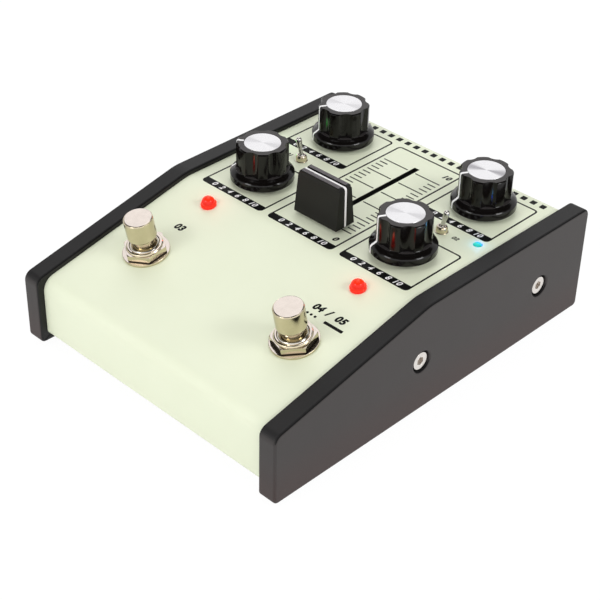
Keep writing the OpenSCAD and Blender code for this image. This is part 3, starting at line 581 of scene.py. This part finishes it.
LINE = 0.75 * MM
BOX_ROUND = 1.8 * MM
BAR_DEPTH = 3.7 * MM
BAR_ROUNDS = (2.4 * MM, 2.4 * MM, 0.1 * MM, 0.1 * MM)
BAR_NUMBERS = range(0, 11, 2)
BAR_FIGURE = 2.5 * MM
BAR_FIGURE_PITCH = 4.3 * MM
BAR_FIGURE_WEIGHT = 0.07 * MM
BAR_FIGURE_LIFT = Print.THICK + 2 * Print.SUNK
KNOB_BOX_SIDES = (20.4 * MM, 53.9 * MM)
FRONT_BOX_RUN = (2.0 * MM, 33.7 * MM)
REAR_BOX_RUN = (47.5 * MM, 79.2 * MM)
FADER_BOX_SIDE = 16.9 * MM
FADER_BOX_RUN = (1.8 * MM, 78.9 * MM)
FIRST_TICK_RUN = 15.65 * MM
TICK_PITCH = 2.55 * MM
TICKS = 21
TICKS_PER_LONG = 4
LONG_TICK = (2.0 * MM, 14.6 * MM)
SHORT_TICK = (10.6 * MM, 14.6 * MM)
TICK_LINE = 0.62 * MM
TICK_ROUND = 0.05 * MM
SCALE_FIGURE = 2.6 * MM
SCALE_FIGURE_X = 12.8 * MM
SCALE_FIGURE_RUN = {"0": 8.8 * MM, "10": 73.0 * MM}
SCALE_FIGURE_WEIGHT = 0.2 * MM
LEVER_NUMBERS = ("01", "02")
LEVER_FIGURE = 1.9 * MM
LEVER_FIGURE_X = 43.7 * MM
LEVER_FIGURE_RUN = 41.3 * MM
LEVER_FIGURE_WEIGHT = 0.11 * MM
ROW_RUN = (81.7 * MM, 84.3 * MM)
ROW_DASH = 2.4 * MM
ROW_PITCH = 4.6 * MM
ROW_DASHES = 24
ROW_ROUND = 0.2 * MM
SLOPE_MARKS = (("03", -39.3 * MM), ("04", 34.6 * MM), ("/", 39.6 * MM), ("05", 45.4 * MM))
SLOPE_FIGURE = 3.0 * MM
SLOPE_MARK_RUN = -23.1 * MM
SLOPE_MARK_WEIGHT = 0.23 * MM
DOTS_X = (33.0 * MM, 34.9 * MM, 36.8 * MM)
DOT_HALF = 0.56 * MM
DOT_RUN = (-27.65 * MM, -26.55 * MM)
DOT_ROUND = 0.54 * MM
DASH_X = (41.2 * MM, 50.0 * MM)
DASH_RUN = (-27.75 * MM, -26.45 * MM)
DASH_ROUND = 0.1 * MM


def from_middle(index, count, pitch):
    """Place of one of a row of things, from the row's middle."""
    return (index - (count - 1) / 2) * pitch


def label_box(ink, figures, left, right, run):
    """A rounded frame with a filled bar along its front edge, and a row of plain figures on the bar."""
    near, far = run
    ink.border(
        round_box(left, near, right, far, BOX_ROUND),
        round_box(left + LINE, near + LINE, right - LINE, far - LINE, BOX_ROUND - LINE))
    ink.prism(round_box(left, near, right, near + BAR_DEPTH, BAR_ROUNDS), Print.SUNK)
    for k, number in enumerate(BAR_NUMBERS):
        x = (left + right) / 2 + from_middle(k, len(BAR_NUMBERS), BAR_FIGURE_PITCH)
        at = (x, near + BAR_DEPTH / 2)
        figures.letters(str(number), BAR_FIGURE, at, BAR_FIGURE_WEIGHT, BAR_FIGURE_LIFT)


def panel_print(black, white):
    """Frames, bars, scale, figures and a row of dashes on the flat panel."""
    flat = Matrix.Translation((0, bend_y, panel_z))
    ink = Print(flat)
    figures = Print(flat)
    for side in SIDES:
        left, right = sorted(side * x for x in KNOB_BOX_SIDES)
        for run in (FRONT_BOX_RUN, REAR_BOX_RUN):
            label_box(ink, figures, left, right, run)
    label_box(ink, figures, -FADER_BOX_SIDE, FADER_BOX_SIDE, FADER_BOX_RUN)
    for k in range(TICKS):
        tick = SHORT_TICK if k % TICKS_PER_LONG else LONG_TICK
        run = FIRST_TICK_RUN + k * TICK_PITCH
        for side in SIDES:
            left, right = sorted(side * x for x in tick)
            ink.prism(round_box(left, run - TICK_LINE / 2, right, run + TICK_LINE / 2, TICK_ROUND, 1))
    for number, run in SCALE_FIGURE_RUN.items():
        ink.letters(number, SCALE_FIGURE, (SCALE_FIGURE_X, run), SCALE_FIGURE_WEIGHT)
    for side, number in zip(SIDES, LEVER_NUMBERS):
        ink.letters(number, LEVER_FIGURE, (side * LEVER_FIGURE_X, LEVER_FIGURE_RUN), LEVER_FIGURE_WEIGHT)
    for k in range(ROW_DASHES):
        x = from_middle(k, ROW_DASHES, ROW_PITCH)
        ink.prism(round_box(x - ROW_DASH / 2, ROW_RUN[0], x + ROW_DASH / 2, ROW_RUN[1], ROW_ROUND, 2))
    piece("panel_print", finished(ink.shape, "panel_print"), black, "housing")
    piece("bar_figures", finished(figures.shape, "bar_figures"), white, "housing")


def slope_print(black):
    """Plain figures by the foot switches, with three dots and a dash under the right ones."""
    ink = Print(Matrix.Translation((0, bend_y, panel_z)) @ Matrix.Rotation(slope_angle, 4, "X"))
    for mark, x in SLOPE_MARKS:
        ink.letters(mark, SLOPE_FIGURE, (x, SLOPE_MARK_RUN), SLOPE_MARK_WEIGHT)
    for x in DOTS_X:
        ink.prism(round_box(x - DOT_HALF, DOT_RUN[0], x + DOT_HALF, DOT_RUN[1], DOT_ROUND))
    ink.prism(round_box(DASH_X[0], DASH_RUN[0], DASH_X[1], DASH_RUN[1], DASH_ROUND, 2))
    piece("slope_print", finished(ink.shape, "slope_print"), black, "housing")


# White lines on the knobs

POINTER_WIDTH = 1.0 * MM
POINTER_PROUD = 0.05 * MM
POINTER_MIN = math.radians(-120)
KNOB_HEIGHT = 16.8 * MM
# Radius and height in millimetres, from the disc over the rim and down to the skirt's foot
POINTER_PATH = (
    (7.45, 16.8), (9.6, 16.8), (10.1, 16.72), (10.36, 16.4), (10.4, 15.9), (10.4, 6.8), (10.5, 6.25),
    (10.8, 5.92), (11.2, 5.62), (12.15, 4.95), (12.55, 4.55), (12.76, 4.05), (12.8, 3.5), (12.8, 1.7))


def pointer(corner, material):
    """The white line on a knob, over its rim and down its side."""
    angle = POINTER_MIN + math.radians(joints[f"knob_{corner}_turn"]["range_deg"][0])
    radial = Vector((math.cos(angle), math.sin(angle), 0))
    across = Vector((-radial.y, radial.x, 0))
    up = Vector((0, 0, 1))
    centre = knob_at[corner].copy()
    centre.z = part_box(f"knob_{corner}")[1].z - KNOB_HEIGHT
    path = []
    for (r, z), (through_r, through_z) in directed([(r * MM, z * MM) for r, z in POINTER_PATH]):
        path.append((centre + radial * r + up * z, radial * through_r + up * through_z))
    strip = ribbon(path, across, POINTER_PROUD, POINTER_WIDTH)
    piece(f"pointer_{corner}", strip, material, f"knob_{corner}")


# Line, pads and ribs of the fader cap

CAP_NARROWING = 0.3 * MM
CAP_EDGE = 0.7 * MM
CAP_LINE = 0.85 * MM
CAP_LINE_PROUD = 0.14 * MM
CAP_LINE_FOOT = 0.5 * MM
# Shares of the narrowing and of the edge's width inward, and of the edge's width down from the top
CAP_LINE_BEND = ((0.9, 0.0, 1.1), (1.0, 0.25, 0.3), (1.0, 1.0, 0.0))
LINE_RISE = 0.35 * MM
RIDGE_HALF = CAP_LINE / 2 - 0.05 * MM
PAD_RISE = 0.85 * MM
PAD_SUNK = -0.5 * MM
PAD_SIDES = (0.93 * MM, 3.12 * MM)
PAD_FLAT = (0.97 * MM, 2.8 * MM)
PAD_SHOULDER = 0.5 * MM
PAD_SHOULDER_END = 0.15 * MM
PAD_FLAT_END = 0.45 * MM
RIB_PITCH = 0.7 * MM
RIB_PROUD = 0.16 * MM
RIB_SUNK = 0.03 * MM
RIB_FOOT_HALF = 0.36 * RIB_PITCH
RIB_CREST_HALF = 0.2 * RIB_PITCH
# Bare length at each end of a pad
RIB_MARGIN = 1.6 * RIB_PITCH


def cap_line(material):
    """The raised white line over the fader cap's top and down both ends."""
    low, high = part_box("fader_cap")
    middle = (low + high) / 2
    half = (high.x - low.x) / 2
    top = high.z + LINE_RISE
    side = [(half, low.z + CAP_LINE_FOOT)]
    for narrowing, inward, down in CAP_LINE_BEND:
        side.append((half - CAP_NARROWING * narrowing - CAP_EDGE * inward, top - CAP_EDGE * down))
    profile = side + [(-x, z) for x, z in reversed(side)]
    path = []
    for (x, z), (through_x, through_z) in directed(profile):
        path.append((Vector((x, middle.y, z)), Vector((through_x, 0, through_z))))
    strip = ribbon(path, Vector((0, 1, 0)), CAP_LINE_PROUD, CAP_LINE)
    piece("cap_line", strip, material, "fader")


def bar(shape, at, profile, ends):
    """A bar along x with a profile of (y, z) points; each point has its own distance to the bar's ends."""
    rows = [[shape.verts.new(at + Vector((side * end, y, z))) for (y, z), end in zip(profile, ends)]
            for side in SIDES]
    shape.faces.new(rows[0])
    shape.faces.new(rows[1][::-1])
    for i in range(len(profile)):
        j = (i + 1) % len(profile)
        shape.faces.new((rows[0][j], rows[0][i], rows[1][i], rows[1][j]))


def cap_pads(black, grip):
    """Two raised pads on the cap's top with fine grip ribs, and the ridge under the line between them."""
    low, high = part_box("fader_cap")
    at = Vector(((low.x + high.x) / 2, (low.y + high.y) / 2, high.z))
    half = (high.x - low.x) / 2 - CAP_NARROWING - CAP_EDGE / 2
    inner, outer = PAD_SIDES
    start, stop = PAD_FLAT
    foot = PAD_RISE - RIB_SUNK
    crest = PAD_RISE + RIB_PROUD
    pad = [(inner, PAD_SUNK), (outer, PAD_SUNK), (outer, PAD_SHOULDER), (stop, PAD_RISE), (start, PAD_RISE)]
    pad_ends = [half, half, half - PAD_SHOULDER_END, half - PAD_FLAT_END, half - PAD_FLAT_END]
    rib = [(start, foot), (stop, foot), (stop - RIB_PROUD, crest), (start + RIB_PROUD, crest)]
    rib_ends = [RIB_FOOT_HALF, RIB_FOOT_HALF, RIB_CREST_HALF, RIB_CREST_HALF]
    count = int(2 * (half - RIB_MARGIN) / RIB_PITCH) + 1
    pads = bmesh.new()
    ribs = bmesh.new()
    for side in SIDES:
        bar(pads, at, [(side * y, z) for y, z in pad], pad_ends)
        for k in range(count):
            middle = at + Vector((from_middle(k, count, RIB_PITCH), 0, 0))
            bar(ribs, middle, [(side * y, z) for y, z in rib], rib_ends)
    ridge = [
        (-RIDGE_HALF, PAD_SUNK), (RIDGE_HALF, PAD_SUNK), (RIDGE_HALF, LINE_RISE), (-RIDGE_HALF, LINE_RISE)]
    ridge_ends = [half, half, half - CAP_EDGE / 2, half - CAP_EDGE / 2]
    bar(pads, at, ridge, ridge_ends)
    for name, shape, material in (("cap_pads", pads, black), ("cap_ribs", ribs, grip)):
        piece(name, finished(shape, name), material, "fader")


# Edges of the solids

WELD_GAP = 0.001 * MM
FLAT_ANGLE = math.radians(0.5)
EDGE_ANGLE = math.radians(30)
EDGE_SEGMENTS = 3
# Wider edges keep their width where small faces would shrink it
CLAMPED_BELOW = 0.5 * MM
NORMAL_WEIGHT = 50
# Width of the rounded edges, and the solids that have them
EDGES = {
    0.9 * MM: ("left_cheek", "right_cheek"),
    0.4 * MM: ("fader_cap",),
    0.3 * MM: ("left_foot_cap", "right_foot_cap", "feet"),
    0.2 * MM: tuple(f"knob_{corner}" for corner in KNOBS) + ("foot_nuts", "jack_nuts", "inlet_nut"),
    0.15 * MM: (
        "foot_washers", "left_foot_switch", "right_foot_switch", "left_toggle_switch",
        "right_toggle_switch", "cheek_screws", "lip_screws", "foot_screws", "left_red_lamp",
        "right_red_lamp", "jack_washers"),
}


def soften(node, width):
    """Rounds a solid's sharp edges."""
    solid = frame["nodes"][node]
    weld = solid.modifiers.new("weld", "WELD")
    weld.merge_threshold = WELD_GAP
    flat = solid.modifiers.new("flat", "DECIMATE")
    flat.decimate_type = "DISSOLVE"
    flat.angle_limit = FLAT_ANGLE
    bevel = solid.modifiers.new("edges", "BEVEL")
    bevel.width = width
    bevel.segments = EDGE_SEGMENTS
    bevel.limit_method = "ANGLE"
    bevel.angle_limit = EDGE_ANGLE
    bevel.miter_outer = "MITER_ARC"
    bevel.use_clamp_overlap = width < CLAMPED_BELOW
    normals = solid.modifiers.new("shading", "WEIGHTED_NORMAL")
    normals.keep_sharp = True
    normals.weight = NORMAL_WEIGHT


# Finishes of the solids, and the glow of the lamps

# Linear colours of a lens on its flank, its crown and the rear of its crown, and its strength
RED_LENS = ((0.15, 0.004, 0.002, 1), (1.0, 0.007, 0.002, 1), (1.0, 0.009, 0.001, 1), 6.0)
BLUE_LENS = ((0.0005, 0.018, 0.018, 1), (0.003, 0.05, 0.042, 1), (0.01, 0.05, 1.0, 1), 14.0)
GREEN_LENS = ((0.002, 0.1, 0.01, 1), (0.02, 1.0, 0.05, 1), (0.02, 1.0, 0.05, 1), 6.0)
# Colour and watts of the light that a lens throws on what is near it
RED_GLOW = ((1.0, 0.12, 0.05), 0.00035)
BLUE_GLOW = ((0.1, 0.5, 1.0), 0.0003)
GREEN_GLOW = ((0.1, 1.0, 0.2), 0.0003)
LAMPS = {
    "left_red_lamp": (RED_LENS, RED_GLOW),
    "right_red_lamp": (RED_LENS, RED_GLOW),
    "blue_lamp": (BLUE_LENS, BLUE_GLOW),
    "green_lamp": (GREEN_LENS, GREEN_GLOW),
}
GLOW_RADIUS = 0.8 * MM
GLOW_RISE = 0.9 * MM


def coat(material, *nodes):
    """Gives a finish to every material slot of some solids."""
    for node in nodes:
        for slot in frame["nodes"][node].material_slots:
            slot.material = material


def glow(node, colour, watts):
    """A small light just over a lens."""
    low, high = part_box(node)
    data = bpy.data.lights.new(f"glow_{node}", "POINT")
    data.energy = watts
    data.color = colour
    data.shadow_soft_size = GLOW_RADIUS
    made = add_object(f"glow_{node}", data)
    made.location = ((low.x + high.x) / 2, (low.y + high.y) / 2, high.z + GLOW_RISE)


def dress():
    """Gives each solid the finish of its material slot, and some solids one of their own."""
    finishes = {
        "cover_paint": cover_paint(),
        "tray_paint": grained(
            "tray_paint", 0.5 * MM, srgb(24, 24, 26), srgb(36, 36, 38), 0.45, 0.05 * MM, strength=0.6),
        "cheek": cheek_black(),
        "steel": plated("steel", srgb(196, 196, 194), srgb(170, 170, 168), 0.28),
        "rubber": grained("rubber", 1.2 * MM, srgb(20, 20, 20), srgb(38, 37, 36), 0.7, 0.03 * MM, detail=3.0),
        "knob_black": knob_black(),
        "shaft_brass": plated("shaft_brass", srgb(206, 178, 112), srgb(184, 156, 92), 0.3),
        "case_metal": plated("case_metal", srgb(120, 121, 121), srgb(96, 98, 98), 0.4),
        "cap_black": cap_black("cap_black", srgb(22, 21, 18), srgb(14, 13, 11)),
        "nickel": nickel("nickel"),
        "board": board_green(),
        "socket_black": socket_black(),
        "ribbon": ribbon_grey(),
    }
    for name, material in finishes.items():
        nodes = [part["node"] for part in frame["record"]["subparts"] if part["material_slot"] == name]
        coat(material, *nodes)
    lever = plated("lever_chrome", srgb(206, 204, 200), srgb(178, 175, 170), 0.12)
    coat(lever, "left_toggle_lever", "right_toggle_lever")
    coat(nickel("nut_nickel", painted_foot_shade=True), "foot_nuts")
    switch = plated("switch_plate", srgb(208, 203, 194), srgb(190, 185, 176), 0.1)
    coat(switch, "left_foot_switch", "right_foot_switch")
    coat(plated("screw_plate", srgb(232, 227, 222), srgb(214, 208, 202), 0.22), "cheek_screws")
    # painted shade: the fader's case is made black so that the slot reads dark
    coat(socket_black(), "fader_case")
    for corner in KNOBS:
        coat(spun_disc(corner), f"disc_{corner}")
    for node, (lens, light) in LAMPS.items():
        coat(lit_lens(node, *lens), node)
        glow(node, *light)


# Stage, light and camera

CAMERA_AZIMUTH = math.radians(45.398)
CAMERA_ELEVATION = math.radians(35.263)
CAMERA_ROLL = math.radians(0.352)
CAMERA_DISTANCE = 631.4 * MM
CAMERA_TARGET = Vector((-31.14, 7.95, -9.645)) * MM
CAMERA_FOCAL_PIXELS = 1528.34
CAMERA_CENTRE_PIXELS = (265.844, 301.423)
CAMERA_NEAR = 0.01
IMAGE_PIXELS = 600
SENSOR = 36.0


def set_camera():
    """The camera that was fitted to the photograph."""
    back = Vector((
        math.sin(CAMERA_AZIMUTH) * math.cos(CAMERA_ELEVATION),
        -math.cos(CAMERA_AZIMUTH) * math.cos(CAMERA_ELEVATION),
        math.sin(CAMERA_ELEVATION)))
    level = Vector((math.cos(CAMERA_AZIMUTH), math.sin(CAMERA_AZIMUTH), 0))
    upright = back.cross(level)
    right = level * math.cos(CAMERA_ROLL) + upright * math.sin(CAMERA_ROLL)
    up = upright * math.cos(CAMERA_ROLL) - level * math.sin(CAMERA_ROLL)
    data = bpy.data.cameras.new("camera")
    data.sensor_width = SENSOR
    data.lens = CAMERA_FOCAL_PIXELS * SENSOR / IMAGE_PIXELS
    data.shift_x = (IMAGE_PIXELS / 2 - CAMERA_CENTRE_PIXELS[0]) / IMAGE_PIXELS
    data.shift_y = (CAMERA_CENTRE_PIXELS[1] - IMAGE_PIXELS / 2) / IMAGE_PIXELS
    data.clip_start = CAMERA_NEAR
    camera = add_object("camera", data)
    turn = Matrix((right, up, back)).transposed().to_4x4()
    camera.matrix_world = Matrix.Translation(CAMERA_TARGET + back * CAMERA_DISTANCE) @ turn
    bpy.context.scene.camera = camera


FLOOR_HALF = 4.0
FLOOR_DROP = 0.1 * MM
FLOOR_GREY = (0.8, 0.8, 0.8, 1)
FLOOR_GLOW = 1.06
FLOOR_GLOW_SHARE = 0.9


def set_stage():
    """A floor that looks white and still shows the object's shadow."""
    mesh = bpy.data.meshes.new("floor")
    corners = [(x * FLOOR_HALF, y * FLOOR_HALF, 0) for x, y in ((-1, -1), (1, -1), (1, 1), (-1, 1))]
    mesh.from_pydata(corners, [], [(0, 1, 2, 3)])
    floor = add_object("floor", mesh)
    floor.location.z = -FLOOR_DROP
    paint = Paint("floor")
    paint.finish(Base_Color=FLOOR_GREY, Roughness=0.9, Specular_IOR_Level=0.0)
    ray = paint.node("ShaderNodeLightPath").socket.node
    seen = Wire(paint, ray.outputs["Is Camera Ray"]) + Wire(paint, ray.outputs["Is Glossy Ray"])
    seen = seen + Wire(paint, ray.outputs["Is Transmission Ray"])
    matt = Wire(paint, paint.surface.outputs[0])
    lit = paint.node("ShaderNodeEmission", None, {"Color": WHITE, "Strength": FLOOR_GLOW})
    both = paint.node("ShaderNodeMixShader", None, {0: seen.clamped() * FLOOR_GLOW_SHARE, 1: matt, 2: lit})
    paint.plug(paint.output.inputs["Surface"], both)
    floor.data.materials.append(paint.material)


# Brightness of the tent's parts
TENT_BACK = 1.35
TENT_FRONT = 1.5
TENT_SIDES = 0.9
TENT_CEILING = 0.05
TENT_SKYLIGHT = 1.6
# Sine and cosine of the camera's azimuth
TENT_TURN = (0.712, 0.702)
# Where the parts begin and end, on a sphere of radius 1
FRONT_AHEAD = (0.0, 0.35)
BACK_SPREAD = 1.3
BACK_BEHIND = (0.0, 0.3)
CEILING_HEIGHT = (0.45, 0.55)
CEILING_HEIGHT_AHEAD = (0.62, 0.75)
SKYLIGHT_HEIGHT = (0.8, 0.88)
SKYLIGHT_AHEAD = (0.02, 0.14)
SKYLIGHT_ASIDE = (0.3, 0.45)
# Place in metres and watts of the soft boxes
SOFT_BOXES = {"front_box": ((-0.22, -1.05, 0.83), 2.5), "right_box": ((1.05, 0.22, 0.83), 3.4)}
SOFT_BOX_SIZE = (0.4, 0.3)
SOFT_BOX_AIM = Vector((0, 0, 0.03))


def set_light():
    """A tent with bright ends and one bright patch in a dark ceiling, and two soft boxes.

    The camera itself sees plain white.
    """
    scene = bpy.context.scene
    scene.view_settings.view_transform = "Standard"
    scene.world = bpy.data.worlds.new("studio")
    scene.world.use_nodes = True
    sky = Nodes(scene.world.node_tree)
    x, y, z = sky.axes(sky.node("ShaderNodeTexCoord", output="Generated"))
    turn_sine, turn_cosine = TENT_TURN
    ahead = x * turn_sine - y * turn_cosine
    aside = (x * turn_cosine + y * turn_sine).size()
    front = ahead.between(*FRONT_AHEAD)
    back = (-BACK_SPREAD * aside - ahead).between(*BACK_BEHIND)
    ceiling = z.between(*CEILING_HEIGHT) * (1 - front) + z.between(*CEILING_HEIGHT_AHEAD) * front
    skylight = z.between(*SKYLIGHT_HEIGHT) * (1 - ahead.between(*SKYLIGHT_AHEAD))
    skylight = skylight * (1 - aside.between(*SKYLIGHT_ASIDE))
    level = TENT_SIDES + (TENT_FRONT - TENT_SIDES) * front
    for part, brightness in ((ceiling, TENT_CEILING), (back, TENT_BACK), (skylight, TENT_SKYLIGHT)):
        level = level + (brightness - level) * part
    seen = sky.node("ShaderNodeLightPath", output="Is Camera Ray")
    shade = sky.tree.nodes["Background"]
    sky.plug(shade.inputs["Color"], WHITE)
    sky.plug(shade.inputs["Strength"], level * (1 - seen) + seen)
    for name, (at, watts) in SOFT_BOXES.items():
        data = bpy.data.lights.new(name, "AREA")
        data.shape = "RECTANGLE"
        data.size, data.size_y = SOFT_BOX_SIZE
        data.energy = watts
        made = add_object(name, data)
        made.location = at
        made.rotation_euler = (SOFT_BOX_AIM - Vector(at)).to_track_quat("-Z", "Y").to_euler()


set_camera()
set_stage()
set_light()
dress()
black = black_ink()
white = white_ink()
panel_print(black, white)
slope_print(black)
for corner in KNOBS:
    pointer(corner, white)
cap_line(white)
# The pads keep the cap's black; the ribs' grey is painted sheen on the cap's black grip ribs
cap_pads(
    frame["nodes"]["fader_cap"].material_slots[0].material,
    cap_black("cap_grip_sheen", srgb(122, 117, 120), srgb(104, 99, 102)))
for width, nodes in EDGES.items():
    for node in nodes:
        soften(node, width)
